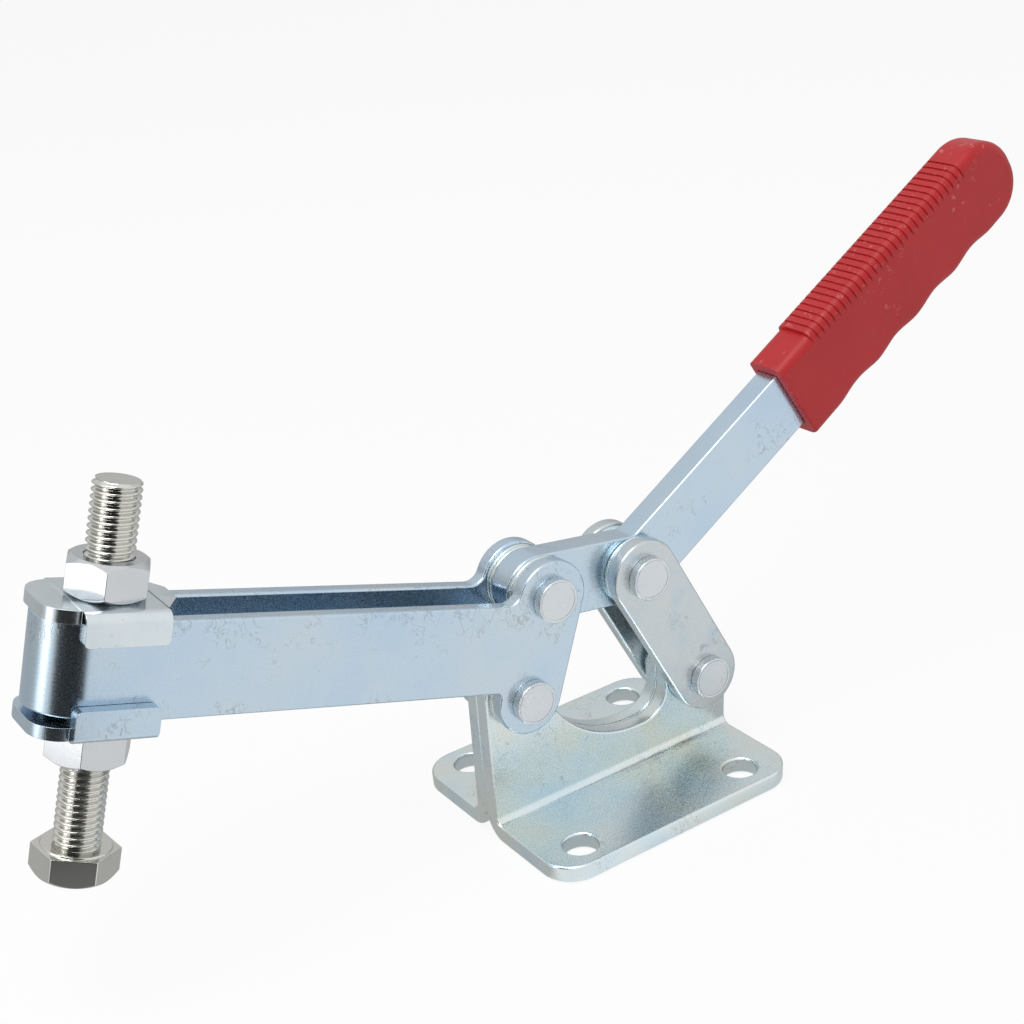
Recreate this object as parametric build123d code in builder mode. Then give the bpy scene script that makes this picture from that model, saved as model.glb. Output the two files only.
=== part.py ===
from build123d import *
import os
from math import acos, atan2, cos, degrees, hypot, radians, sin, tan

# Toggle clamp with a bent-strip arm, a cranked handle and a bolt spindle.
# X runs along the clamp, with the spindle towards -X and the handle towards +X.
# Z is up: the base stands on Z = 0, and Y = 0 is the plane of symmetry.
# The origin is the centre of the base's hole pattern, on the underside.
# Lengths are in millimetres and angles in degrees. The clamp is half open.

os.makedirs("parts", exist_ok=True)

# base: two bent brackets, back to back
base_gauge = 5.0
base_ahead = 41.0                  # front edge, from the hole centre
base_behind = 41.5                 # rear edge, from the hole centre
base_width = 75.2
base_corner_radius = 10.0
base_bend_radius = 2.5             # inside of the bend
hole_dia = 10.0
hole_spacing_x = 57.0
hole_spacing_y = 56.4
front_ear_radius = 11.0
rear_ear_radius = 11.4
basin_floor = 16.7                 # the open basin between the two ears
basin_flank_radius = 32.4
basin_flank_x = 10.7
basin_corner_radius = 8.8

# linkage: four pivots, given as X and Z, or along and across the arm
arm_pivot = (-29.0, 43.3)
link_base_pivot = (32.6, 26.8)
arm_raised = 18.0                  # angle of the arm over the base
handle_pivot_on_arm = (-1.05, 29.35)
crank_length = 32.5                # handle pivot to upper link pivot
link_length = 43.7

# arm: one strip bent into a long U
arm_gauge = 4.5
arm_slot = 13.7
arm_reach = 139.0                  # arm pivot to the outside of the bend
arm_edge_height = 2.3              # lower edge over the line through the pivot
arm_depth = 25.0
arm_lobe_radius = 10.1
handle_lobe_radius = 10.7
lobe_fillet = 4.0
chin_fillet = 1.5

# handle bar
bar_gauge = 8.0
bar_depth = 20.0
bar_bend_angle = 39.6
bar_bend_at = 3.7                  # bend, past the upper link pivot
bar_bend_radius = 4.0              # inside of the bend
bar_edge_round = 0.8

# moulded grip
grip_start = 66.9                  # mouth, from the corner of the bend
grip_length = 104.0
grip_width = 14.4
grip_top = 14.4                    # over the middle of the bar
grip_collar_top = 13.2
grip_under_mouth = 15.0            # under the middle of the bar, at the mouth
grip_under_nose = 13.4
grip_edge_radius = 3.0
nose_top_radius = 15.0
nose_under_radius = 11.0
pocket_depth = 88.0
mouth_relief = 0.9
mouth_relief_depth = 2.5
rib_start = 14.2                   # first rib, from the mouth
rib_end = 19.0                     # end of the ribs, from the nose
rib_pitch = 2.44
groove_width = 0.75
groove_depth = 0.8
groove_run = 5.7                   # how far the grooves come down the sides
finger_count = 4
finger_start = 12.1                # first crest, from the mouth
finger_end = 16.7                  # last crest, from the nose
finger_depth = 1.1
finger_crest_radius = 7.0

# links
link_gauge = 4.5
link_radius = 10.7
link_inner_face = 6.15             # from the plane of symmetry

# pins and the rings between the plates
pin_dia = 9.0
pin_head_dia = 12.5
pin_head_height = 2.8
pin_head_chamfer = 0.5
ring_dia = 20.0
bore_clearance = 0.05
side_gap = 0.1
open_pivot_clearance = 3.8         # round the lower link pin

# spindle: a hexagon bolt held by two nuts and two saddle washers
spindle_setback = 17.4             # behind the front of the arm's bend
spindle_dia = 11.9
spindle_up = 58.6                  # tip, over the line through the arm pivot
spindle_down = 33.5                # under the head, below that line
spindle_tip_chamfer = 1.0
hex_flats = 19.0
hex_face_dia = 18.0
hex_chamfer_angle = 30.0
head_height = 7.5
head_ring_dia = 17.4
head_ring_height = 0.5
nut_height = 9.6
head_turn = 37.0                   # corners, from the direction of the arm
upper_nut_turn = 7.0
lower_nut_turn = 1.0
saddle_gauge = 3.3
saddle_clearance = 0.2
saddle_seat_gap = 0.1
saddle_hole_dia = 12.6
saddle_front = 17.4                # tip of the front arc, from the bolt
saddle_rear = 16.5
saddle_rear_width = 7.4
flange_ahead = 9.0
flange_behind = 11.2
saddle_bend_radius = 1.8           # outside of the bend
upper_flange_depth = 4.7           # past the plate
lower_flange_depth = 5.1
flange_tip_round = 1.2

edge_break = 0.5                   # chamfer on the edges of the sheet parts


# ---------------------------------------------------- places worked out
arm_half_width = arm_slot / 2 + arm_gauge
arm_top_edge = arm_edge_height + arm_depth
arm_cut = 2 * (arm_top_edge + handle_lobe_radius)    # clears the arm's whole depth
link_outer_face = link_inner_face + link_gauge
pin_bore_dia = pin_dia + 2 * bore_clearance
hex_corner_radius = hex_flats / 2 / cos(radians(30))

# arm plane: X along the arm towards the spindle, Y across it, upwards
arm_side = Plane(
    origin=(arm_pivot[0], 0, arm_pivot[1]),
    x_dir=(-cos(radians(arm_raised)), 0, sin(radians(arm_raised))),
    z_dir=(0, 1, 0),
)
arm_plan = Plane(origin=arm_side.origin, x_dir=arm_side.x_dir, z_dir=arm_side.y_dir)
spindle_plan = Plane(
    origin=arm_side.from_local_coords(Vector(arm_reach - spindle_setback, 0)),
    x_dir=arm_side.x_dir,
    z_dir=arm_side.y_dir,
)

# the upper link pivot closes the triangle over the handle and base pivots
handle_pivot_point = arm_side.from_local_coords(Vector(*handle_pivot_on_arm))
handle_pivot = (handle_pivot_point.X, handle_pivot_point.Z)
reach_x = link_base_pivot[0] - handle_pivot[0]
reach_z = link_base_pivot[1] - handle_pivot[1]
reach = hypot(reach_x, reach_z)
cos_lift = (crank_length**2 + reach**2 - link_length**2) / (2 * crank_length * reach)
crank_angle = degrees(atan2(reach_z, reach_x) + acos(cos_lift))
link_top_pivot = (
    handle_pivot[0] + crank_length * cos(radians(crank_angle)),
    handle_pivot[1] + crank_length * sin(radians(crank_angle)),
)


def side_plane(point, angle):
    """A plane in the clamp's side view, with its X turned up by an angle."""
    return Plane(
        origin=(point[0], 0, point[1]),
        x_dir=(cos(radians(angle)), 0, sin(radians(angle))),
        z_dir=(0, -1, 0),
    )


crank_side = side_plane(handle_pivot, crank_angle)
bend_point = crank_side.from_local_coords(Vector(crank_length + bar_bend_at, 0))
grip_side = side_plane((bend_point.X, bend_point.Z), crank_angle + bar_bend_angle)
mouth = Plane(
    origin=grip_side.from_local_coords(Vector(grip_start, 0)),
    x_dir=(0, 1, 0),
    z_dir=grip_side.x_dir,
)


def turned(plan, angle):
    """The same plane, turned about its own Z."""
    return Plane(plan.location * Rotation(0, 0, angle))


def save(piece, name):
    """Label a finished piece and write it to its own file."""
    piece.label = name
    export_step(piece, f"parts/{name}.step")


def save_pair(piece, name):
    """Write a piece of the near side, and its mirror image on the far side."""
    save(piece, f"{name}_near")
    save(mirror(piece, about=Plane.XZ), f"{name}_far")


# --------------------------------------------------------- base bracket
with BuildPart() as bracket:
    # the flange, the bend and the foot of the wall
    with BuildSketch(Plane.YZ.offset(-base_ahead)):
        with BuildLine():
            FilletPolyline(
                (-base_width / 2, base_gauge / 2),
                (-base_gauge / 2, base_gauge / 2),
                (-base_gauge / 2, basin_floor),
                radius=base_bend_radius + base_gauge / 2,
            )
        trace(line_width=base_gauge)
    extrude(amount=base_ahead + base_behind)

    # the wall: two ears, and the basin between them open to the top
    bend_top = base_gauge + base_bend_radius
    basin_end = link_base_pivot[0] - rear_ear_radius
    basin_corner_x = basin_end - basin_corner_radius
    basin_left = basin_flank_x - basin_flank_radius
    basin_flank_z = basin_floor + basin_flank_radius
    basin_right = base_behind + rear_ear_radius
    basin_top = basin_flank_z + front_ear_radius
    with BuildSketch(Plane.XZ):
        with Locations((-base_ahead, bend_top)):
            Rectangle(base_ahead + base_behind, edge_break, align=Align.MIN)
        with Locations(arm_pivot):
            Circle(front_ear_radius)
        with Locations(link_base_pivot):
            Circle(rear_ear_radius)
        make_hull()
        with BuildLine():
            flank = CenterArc((basin_flank_x, basin_flank_z), basin_flank_radius, 180, 90)
            Line(flank @ 1, (basin_corner_x, basin_floor))
            corner = CenterArc(
                (basin_corner_x, basin_floor + basin_corner_radius), basin_corner_radius, 270, 90
            )
            Polyline(
                corner @ 1,
                (basin_end, link_base_pivot[1]),
                (basin_right, link_base_pivot[1]),
                (basin_right, basin_top),
                (basin_left, basin_top),
                flank @ 0,
            )
        make_face(mode=Mode.SUBTRACT)
        with Locations(arm_pivot):
            Circle(front_ear_radius)
        with Locations(link_base_pivot):
            Circle(rear_ear_radius)
    extrude(amount=base_gauge)

    # rounded corners of the flange
    fillet(bracket.edges().filter_by(Axis.Z).group_by(Axis.Y)[0], base_corner_radius)

    # pivot holes, and the row of mounting holes
    with BuildSketch(Plane.XZ):
        with Locations(arm_pivot):
            Circle(pin_bore_dia / 2)
        with Locations(link_base_pivot):
            Circle(pin_dia / 2 + open_pivot_clearance)
    extrude(amount=base_gauge, mode=Mode.SUBTRACT)
    with BuildSketch(Plane.XY):
        with Locations((0, -hole_spacing_y / 2)):
            with GridLocations(hole_spacing_x, hole_spacing_y, 2, 1):
                Circle(hole_dia / 2)
    extrude(amount=base_gauge, mode=Mode.SUBTRACT)
save_pair(bracket.part, "base_bracket")


# ------------------------------------------------------------------ arm
with BuildPart() as arm:
    # side outline: a strip that grows two lobes at its rear end
    with BuildSketch(arm_side) as outline:
        Circle(arm_lobe_radius)
        with Locations(handle_pivot_on_arm):
            Circle(handle_lobe_radius)
        make_hull()
        Rectangle(arm_reach, arm_reach, align=(Align.MIN, Align.CENTER), mode=Mode.SUBTRACT)
        Circle(arm_lobe_radius)
        with Locations(handle_pivot_on_arm):
            Circle(handle_lobe_radius)
        with Locations((0, arm_edge_height)):
            Rectangle(arm_reach, arm_depth, align=Align.MIN)
        neck = (handle_pivot_on_arm[0] + handle_lobe_radius, arm_top_edge)
        fillet(outline.vertices().sort_by_distance(neck)[0], lobe_fillet)
        chin = (arm_lobe_radius, arm_edge_height)
        fillet(outline.vertices().sort_by_distance(chin)[0], chin_fillet)
    extrude(amount=arm_half_width, both=True)

    # plan outline: the round front of the bend
    bend_centre = arm_reach - arm_half_width
    with BuildSketch(arm_plan):
        with Locations((bend_centre, 0)):
            Circle(arm_half_width)
            Rectangle(2 * arm_reach, 2 * arm_half_width, align=(Align.MAX, Align.CENTER))
    extrude(amount=arm_cut, both=True, mode=Mode.INTERSECT)
    arm_axis = Axis(arm_side.origin, arm_side.x_dir)
    rims = [face.edges().sort_by(arm_axis)[:-1] for face in arm.faces().filter_by(Axis.Y)]
    chamfer(rims[0] + rims[1], edge_break)

    # the slot between the two plates, and the pin holes
    with BuildSketch(arm_plan):
        with Locations((bend_centre, 0)):
            Circle(arm_slot / 2)
            Rectangle(2 * arm_reach, arm_slot, align=(Align.MAX, Align.CENTER))
    extrude(amount=arm_cut, both=True, mode=Mode.SUBTRACT)
    with BuildSketch(arm_side):
        with Locations((0, 0), handle_pivot_on_arm):
            Circle(pin_dia / 2)
    extrude(amount=arm_half_width, both=True, mode=Mode.SUBTRACT)
save(arm.part, "arm")


# ----------------------------------------------------------- handle bar
with BuildPart() as handle_bar:
    bar_run = grip_start + pocket_depth
    with BuildSketch(crank_side):
        with BuildLine():
            FilletPolyline(
                (0, 0),
                (crank_length + bar_bend_at, 0),
                (
                    crank_length + bar_bend_at + bar_run * cos(radians(bar_bend_angle)),
                    bar_run * sin(radians(bar_bend_angle)),
                ),
                radius=bar_bend_radius + bar_depth / 2,
            )
        trace(line_width=bar_depth)
        Circle(bar_depth / 2)
    extrude(amount=bar_gauge / 2, both=True)
    fillet(handle_bar.faces().filter_by(Axis.Y).edges(), bar_edge_round)
    with BuildSketch(crank_side):
        with Locations((0, 0), (crank_length, 0)):
            Circle(pin_bore_dia / 2)
    extrude(amount=bar_gauge / 2, both=True, mode=Mode.SUBTRACT)
save(handle_bar.part, "handle_bar")


# ----------------------------------------------------------------- grip
with BuildPart() as grip:
    nose = grip_start + grip_length

    def under(x):
        """The straight underside, which rises from the mouth to the nose."""
        rise = (grip_under_mouth - grip_under_nose) / grip_length
        return rise * (x - grip_start) - grip_under_mouth

    # side outline with the shallow finger hollows
    finger_pitch = (grip_length - finger_start - finger_end) / finger_count
    crest_x = [grip_start + finger_start + finger_pitch * i for i in range(finger_count + 1)]
    crests = [(x, under(x)) for x in crest_x]
    with BuildSketch(grip_side) as grip_outline:
        with BuildLine():
            for left, right in zip(crests, crests[1:]):
                middle = (left[0] + right[0]) / 2
                ThreePointArc(left, (middle, under(middle) + finger_depth), right)
            Polyline(
                crests[-1],
                (nose, under(nose)),
                (nose, grip_top),
                (grip_start, grip_top),
                (grip_start, under(grip_start)),
                crests[0],
            )
        make_face()
        for crest in crests:
            fillet(grip_outline.vertices().sort_by_distance(crest)[0], finger_crest_radius)
        nose_under = grip_outline.vertices().sort_by_distance((nose, under(nose)))[0]
        fillet(nose_under, nose_under_radius)
        nose_top = grip_outline.vertices().sort_by_distance((nose, grip_top))[0]
        fillet(nose_top, nose_top_radius)
    extrude(amount=grip_width / 2, both=True)
    grip_axis = Axis(mouth.origin, mouth.z_dir)
    rims = [face.edges().sort_by(grip_axis)[1:] for face in grip.faces().filter_by(Axis.Y)]
    fillet(rims[0] + rims[1], grip_edge_radius)

    # the lower collar in front of the ribs
    with BuildSketch(mouth):
        Rectangle(2 * grip_width, 2 * grip_top, align=(Align.CENTER, Align.MIN))
        RectangleRounded(grip_width, 2 * grip_collar_top, grip_edge_radius, mode=Mode.SUBTRACT)
    extrude(amount=rib_start, mode=Mode.SUBTRACT)

    # the grooves that leave the ribs, over the top and down both sides
    first_groove = rib_start + rib_pitch - groove_width
    rib_count = int((grip_length - rib_start - rib_end) / rib_pitch)
    groove_planes = [mouth.offset(first_groove + rib_pitch * i) for i in range(rib_count)]
    with BuildSketch(*groove_planes):
        with Locations((0, grip_top - groove_run)):
            Rectangle(2 * grip_width, 2 * groove_run, align=(Align.CENTER, Align.MIN))
        RectangleRounded(
            grip_width - 2 * groove_depth,
            2 * (grip_top - groove_depth),
            grip_edge_radius - groove_depth,
            mode=Mode.SUBTRACT,
        )
    extrude(amount=groove_width, mode=Mode.SUBTRACT)

    # the pocket for the bar, relieved at its mouth
    with BuildSketch(mouth):
        Rectangle(bar_gauge, bar_depth)
    extrude(amount=pocket_depth, mode=Mode.SUBTRACT)
    with BuildSketch(mouth):
        Rectangle(bar_gauge + 2 * mouth_relief, bar_depth + 2 * mouth_relief)
    extrude(amount=mouth_relief_depth, mode=Mode.SUBTRACT)
save(grip.part, "grip")


# ---------------------------------------------------------------- links
with BuildPart() as link:
    with BuildSketch(Plane.XZ.offset(link_inner_face)):
        with Locations(link_top_pivot, link_base_pivot):
            Circle(link_radius)
        make_hull()
    extrude(amount=link_gauge)
    chamfer(link.faces().filter_by(Axis.Y).edges(), edge_break)
    with BuildSketch(Plane.XZ.offset(link_inner_face)):
        with Locations(link_top_pivot, link_base_pivot):
            Circle(pin_dia / 2)
    extrude(amount=link_gauge, mode=Mode.SUBTRACT)
save_pair(link.part, "link")


# ------------------------------------------------------- pins and rings
def make_pin(pivot, reach):
    """A riveted pin: a shank with a chamfered head at each end."""
    with BuildPart() as pin:
        with BuildSketch(Plane.XZ):
            with Locations(pivot):
                Circle(pin_dia / 2)
        extrude(amount=reach, both=True)
        for side in (-1, 1):
            with BuildSketch(Plane.XZ.offset(side * reach)):
                with Locations(pivot):
                    Circle(pin_head_dia / 2)
            extrude(amount=side * pin_head_height)
        ends = pin.faces().filter_by(Axis.Y).sort_by(Axis.Y)
        chamfer(ends[0].edges() + ends[-1].edges(), pin_head_chamfer)
    return pin.part


def make_ring(pivot, inner_face, outer_face):
    """A flat ring on a pin, between two plates of the near side."""
    with BuildPart() as ring:
        with BuildSketch(Plane.XZ.offset(inner_face)):
            with Locations(pivot):
                Circle(ring_dia / 2)
                Circle(pin_dia / 2, mode=Mode.SUBTRACT)
        extrude(amount=outer_face - inner_face)
    return ring.part


# each pin's place, the face its heads sit on, and the faces its rings lie between
pin_rows = {
    "arm": (arm_pivot, arm_half_width, base_gauge, arm_slot / 2),
    "handle": (handle_pivot, arm_half_width, bar_gauge / 2, arm_slot / 2),
    "link_top": (link_top_pivot, link_outer_face, bar_gauge / 2, link_inner_face),
    "link_base": (link_base_pivot, link_outer_face, base_gauge, link_inner_face),
}
for pin_name, (pivot, head_face, middle_face, plate_face) in pin_rows.items():
    save(make_pin(pivot, head_face), f"pin_{pin_name}")
    save_pair(make_ring(pivot, middle_face + side_gap, plate_face), f"ring_{pin_name}")


# -------------------------------------------------------------- spindle
def make_hexagon(plan, height, both_faces):
    """A hexagonal body whose corners are turned off at one face or at both."""
    face_radius = hex_face_dia / 2
    drop = (hex_corner_radius - face_radius) * tan(radians(hex_chamfer_angle))
    rim = [(0, 0), (face_radius, 0), (hex_corner_radius, drop)]
    if both_faces:
        rim += [(hex_corner_radius, height - drop), (face_radius, height)]
    else:
        rim += [(hex_corner_radius, height)]
    with BuildPart() as hexagon:
        with BuildSketch(plan):
            RegularPolygon(hex_corner_radius, 6)
        extrude(amount=height)
        with BuildSketch(Plane(origin=plan.origin, x_dir=plan.x_dir, z_dir=-plan.y_dir)):
            with BuildLine():
                Polyline(*rim, (0, height), close=True)
            make_face()
        revolve(axis=Axis(plan.origin, plan.z_dir), mode=Mode.INTERSECT)
    return hexagon.part


with BuildPart() as spindle_bolt:
    head_plan = turned(spindle_plan.offset(-spindle_down - head_height), head_turn)
    add(make_hexagon(head_plan, head_height, both_faces=False))
    with BuildSketch(spindle_plan.offset(-spindle_down)):
        Circle(head_ring_dia / 2)
    extrude(amount=head_ring_height)
    with BuildSketch(spindle_plan.offset(-spindle_down)):
        Circle(spindle_dia / 2)
    extrude(amount=spindle_down + spindle_up)
    spindle_axis = Axis(spindle_plan.origin, spindle_plan.z_dir)
    chamfer(spindle_bolt.edges().sort_by(spindle_axis)[-1], spindle_tip_chamfer)
save(spindle_bolt.part, "spindle_bolt")


def make_nut(plan):
    """A plain nut on the spindle, chamfered at both faces."""
    with BuildPart() as nut:
        add(make_hexagon(plan, nut_height, both_faces=True))
        with BuildSketch(plan):
            Circle(spindle_dia / 2 + bore_clearance)
        extrude(amount=nut_height, mode=Mode.SUBTRACT)
    return nut.part


upper_seat = arm_top_edge + saddle_seat_gap
lower_seat = arm_edge_height - saddle_seat_gap
upper_nut_plan = spindle_plan.offset(upper_seat + saddle_gauge)
save(make_nut(turned(upper_nut_plan, upper_nut_turn)), "upper_nut")
lower_nut_plan = spindle_plan.offset(lower_seat - saddle_gauge - nut_height)
save(make_nut(turned(lower_nut_plan, lower_nut_turn)), "lower_nut")


def make_saddle(seat, flange_depth):
    """A bent washer: a plate on the arm's edges and two flanges outside them.

    The seat's Z points away from the arm, and its X towards the arm's front.
    """
    inner_half = arm_half_width + saddle_clearance
    outer_half = inner_half + saddle_gauge
    with BuildPart() as saddle:
        with BuildSketch(seat):
            with BuildLine():
                ThreePointArc((flange_ahead, -outer_half), (saddle_front, 0), (flange_ahead, outer_half))
                Polyline(
                    (flange_ahead, outer_half),
                    (-flange_behind, outer_half),
                    (-saddle_rear, saddle_rear_width / 2),
                    (-saddle_rear, -saddle_rear_width / 2),
                    (-flange_behind, -outer_half),
                    (flange_ahead, -outer_half),
                )
            make_face()
        extrude(amount=saddle_gauge)
        flange_middle = (flange_ahead - flange_behind) / 2
        with BuildSketch(seat):
            with Locations(
                (flange_middle, inner_half + saddle_gauge / 2),
                (flange_middle, -inner_half - saddle_gauge / 2),
            ):
                Rectangle(flange_ahead + flange_behind, saddle_gauge)
        extrude(amount=-flange_depth)
        long_edges = saddle.edges().filter_by(Axis(seat.origin, seat.x_dir))
        rows = long_edges.group_by(Axis(seat.origin, seat.z_dir))
        fillet(rows[-1], saddle_bend_radius)
        fillet(rows[0].group_by(Axis.Y)[0] + rows[0].group_by(Axis.Y)[-1], flange_tip_round)
        with BuildSketch(seat):
            Circle(saddle_hole_dia / 2)
        extrude(amount=saddle_gauge, mode=Mode.SUBTRACT)
    return saddle.part


save(make_saddle(spindle_plan.offset(upper_seat), upper_flange_depth), "upper_saddle")
lower_side = Plane(
    origin=spindle_plan.offset(lower_seat).origin,
    x_dir=spindle_plan.x_dir,
    z_dir=-spindle_plan.z_dir,
)
save(make_saddle(lower_side, lower_flange_depth), "lower_saddle")
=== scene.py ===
# Toggle clamp: a bent-strip arm, a cranked handle with a red grip, and a bolt spindle.
# Sizes are in millimetres and angles in degrees, and become metres and radians where used.
# Blanks and cutters run past the piece they shape, by amounts that have no meaning of their own.

import bpy
from math import acos, atan2, cos, hypot, pi, radians, sin, sqrt, tan
from mathutils import Matrix, Vector


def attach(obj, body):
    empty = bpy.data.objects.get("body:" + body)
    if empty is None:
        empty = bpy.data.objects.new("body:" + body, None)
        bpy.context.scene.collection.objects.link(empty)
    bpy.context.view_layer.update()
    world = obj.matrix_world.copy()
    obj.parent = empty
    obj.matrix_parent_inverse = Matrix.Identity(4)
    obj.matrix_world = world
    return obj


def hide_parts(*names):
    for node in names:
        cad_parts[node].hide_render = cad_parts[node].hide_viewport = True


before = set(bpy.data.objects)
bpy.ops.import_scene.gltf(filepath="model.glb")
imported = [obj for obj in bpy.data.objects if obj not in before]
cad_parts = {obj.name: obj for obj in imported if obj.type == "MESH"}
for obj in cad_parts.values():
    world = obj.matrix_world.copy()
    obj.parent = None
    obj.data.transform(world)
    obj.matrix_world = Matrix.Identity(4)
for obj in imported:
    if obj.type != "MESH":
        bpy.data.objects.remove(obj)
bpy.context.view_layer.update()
print("frame loaded:", len(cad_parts), "nodes")

mm = 0.001


# small tools for modelling

def makeActive(piece):
    bpy.ops.object.select_all(action="DESELECT")
    piece.select_set(True)
    bpy.context.view_layer.objects.active = piece


def editAll(piece):
    makeActive(piece)
    bpy.ops.object.mode_set(mode="EDIT")
    bpy.ops.mesh.select_mode(type="FACE")
    bpy.ops.mesh.select_all(action="SELECT")


# picks what passes the test, by its middle in mm and its normal or direction, and stays in edit mode
def pick(piece, kind, test):
    makeActive(piece)
    bpy.ops.object.mode_set(mode="EDIT")
    bpy.ops.mesh.select_mode(type=kind)
    bpy.ops.mesh.select_all(action="DESELECT")
    bpy.ops.object.mode_set(mode="OBJECT")
    mesh = piece.data
    if kind == "FACE":
        for face in mesh.polygons:
            face.select = bool(test(face.center / mm, face.normal))
    elif kind == "EDGE":
        for edge in mesh.edges:
            start, end = (mesh.vertices[i].co for i in edge.vertices)
            edge.select = bool(test((start + end) / 2 / mm, (end - start).normalized()))
    else:
        for vertex in mesh.vertices:
            vertex.select = bool(test(vertex.co / mm, vertex.normal))
    bpy.ops.object.mode_set(mode="EDIT")


def leave():
    bpy.ops.object.mode_set(mode="OBJECT")


def applyPlace(piece):
    makeActive(piece)
    bpy.ops.object.transform_apply(location=True, rotation=True, scale=True)
    return piece


def addBlock(name, low, high):
    middle = [(a + b) / 2 * mm for a, b in zip(low, high)]
    span = [(b - a) * mm for a, b in zip(low, high)]
    bpy.ops.mesh.primitive_cube_add(size=1, location=middle, scale=span)
    piece = bpy.context.object
    piece.name = name
    return applyPlace(piece)


# a round bar along Y or Z, between two heights on that axis
def addRound(name, axis, radius, low, high, spot=(0, 0), sides=96, turn=0):
    middle = (low + high) / 2
    place = (spot[0], middle, spot[1]) if axis == "Y" else (spot[0], spot[1], middle)
    bpy.ops.mesh.primitive_cylinder_add(
        vertices=sides, radius=radius * mm, depth=(high - low) * mm,
        location=[v * mm for v in place],
        rotation=(pi / 2, 0, 0) if axis == "Y" else (0, 0, radians(turn)))
    piece = bpy.context.object
    piece.name = name
    return applyPlace(piece)


def joinInto(piece, *others):
    makeActive(piece)
    for other in others:
        other.select_set(True)
    bpy.ops.object.join()
    return piece


# one solid round all the pieces given
def wrap(piece, *others):
    joinInto(piece, *others)
    editAll(piece)
    bpy.ops.mesh.convex_hull(join_triangles=False)
    bpy.ops.mesh.select_all(action="SELECT")
    bpy.ops.mesh.dissolve_limited(angle_limit=radians(0.5))
    leave()
    return piece


# cuts, joins or intersects the piece with a tool, which is used up
def combine(piece, tool, how="DIFFERENCE", selfCrossing=False):
    makeActive(piece)
    bpy.ops.object.modifier_add(type="BOOLEAN")
    modifier = piece.modifiers[-1]
    modifier.operation = how
    modifier.solver = "EXACT"
    modifier.use_self = selfCrossing
    modifier.object = tool
    bpy.ops.object.modifier_apply(modifier=modifier.name)
    bpy.data.objects.remove(tool, do_unlink=True)
    return piece


def bevelPicked(piece, test, size, steps):
    pick(piece, "EDGE", test)
    bpy.ops.mesh.bevel(offset=size * mm, segments=steps, affect="EDGES", clamp_overlap=False)
    bpy.ops.mesh.select_all(action="SELECT")
    bpy.ops.mesh.remove_doubles(threshold=0.004 * mm)
    leave()
    return piece


# joins points closer than this, then clears the lines left inside flat faces
def cleanFlats(piece, closer=0.03):
    editAll(piece)
    bpy.ops.mesh.remove_doubles(threshold=closer * mm)
    bpy.ops.mesh.dissolve_limited(angle_limit=radians(0.4))
    leave()
    return piece


# rounds every edge sharper than the angle; the new faces take the material with that number,
# and a held rounding narrows where it would cross itself
def roundEdges(piece, size, steps=3, sharper=28, material=1, held=False):
    makeActive(piece)
    bpy.ops.object.modifier_add(type="BEVEL")
    modifier = piece.modifiers[-1]
    modifier.width = size * mm
    modifier.segments = steps
    modifier.limit_method = "ANGLE"
    modifier.angle_limit = radians(sharper)
    modifier.use_clamp_overlap = held
    modifier.material = material
    bpy.ops.object.modifier_apply(modifier=modifier.name)
    return piece


# gives the picked faces one of the piece's materials, by number
def paintPicked(piece, test, number):
    pick(piece, "FACE", test)
    while len(piece.data.materials) <= number:
        piece.data.materials.append(None)
    piece.active_material_index = number
    bpy.ops.object.material_slot_assign()
    leave()
    return piece


# the same piece on the far side of the clamp
def mirrored(piece, name):
    makeActive(piece)
    bpy.ops.object.duplicate(linked=False)
    twin = bpy.context.object
    twin.name = name
    twin.scale = (1, -1, 1)
    applyPlace(twin)
    editAll(twin)
    bpy.ops.mesh.normals_make_consistent(inside=False)
    leave()
    return twin


def smooth(piece, angle=32):
    makeActive(piece)
    bpy.ops.object.shade_smooth_by_angle(angle=radians(angle))
    bpy.ops.object.modifier_add(type="WEIGHTED_NORMAL")
    modifier = piece.modifiers[-1]
    modifier.keep_sharp = True
    modifier.weight = 80
    bpy.ops.object.modifier_apply(modifier=modifier.name)
    return piece


# where the pivots are

linkage = {
    "armPivot": (-29.0, 43.3), "basePivot": (32.6, 26.8), "armRaised": 18.0, "handleOnArm": (-1.05, 29.35),
    "crankLength": 32.5, "linkLength": 43.7, "bendAt": 3.7, "bendAngle": 39.6,
}
armAngle = radians(linkage["armRaised"])


def onArm(along, up):
    x, z = linkage["armPivot"]
    return (x - along * cos(armAngle) + up * sin(armAngle), z + along * sin(armAngle) + up * cos(armAngle))


handlePivot = onArm(*linkage["handleOnArm"])
reachX = linkage["basePivot"][0] - handlePivot[0]
reachZ = linkage["basePivot"][1] - handlePivot[1]
reach = hypot(reachX, reachZ)
crank, rod = linkage["crankLength"], linkage["linkLength"]
crankAngle = atan2(reachZ, reachX) + acos((crank**2 + reach**2 - rod**2) / (2 * crank * reach))
linkTop = (handlePivot[0] + crank * cos(crankAngle), handlePivot[1] + crank * sin(crankAngle))
cornerRun = crank + linkage["bendAt"]
barCorner = (handlePivot[0] + cornerRun * cos(crankAngle), handlePivot[1] + cornerRun * sin(crankAngle))
gripAngle = crankAngle + radians(linkage["bendAngle"])


# a piece modelled with X forward along the arm and Z across it
def placeOnArm(piece):
    piece.rotation_euler = (0, -armAngle, pi)
    piece.location = (linkage["armPivot"][0] * mm, 0, linkage["armPivot"][1] * mm)
    return applyPlace(piece)


# a piece modelled with X along a bar that starts at a point of the side view
def placeAlong(piece, point, angle):
    piece.rotation_euler = (0, -angle, 0)
    piece.location = (point[0] * mm, 0, point[1] * mm)
    return applyPlace(piece)


# materials

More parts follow.
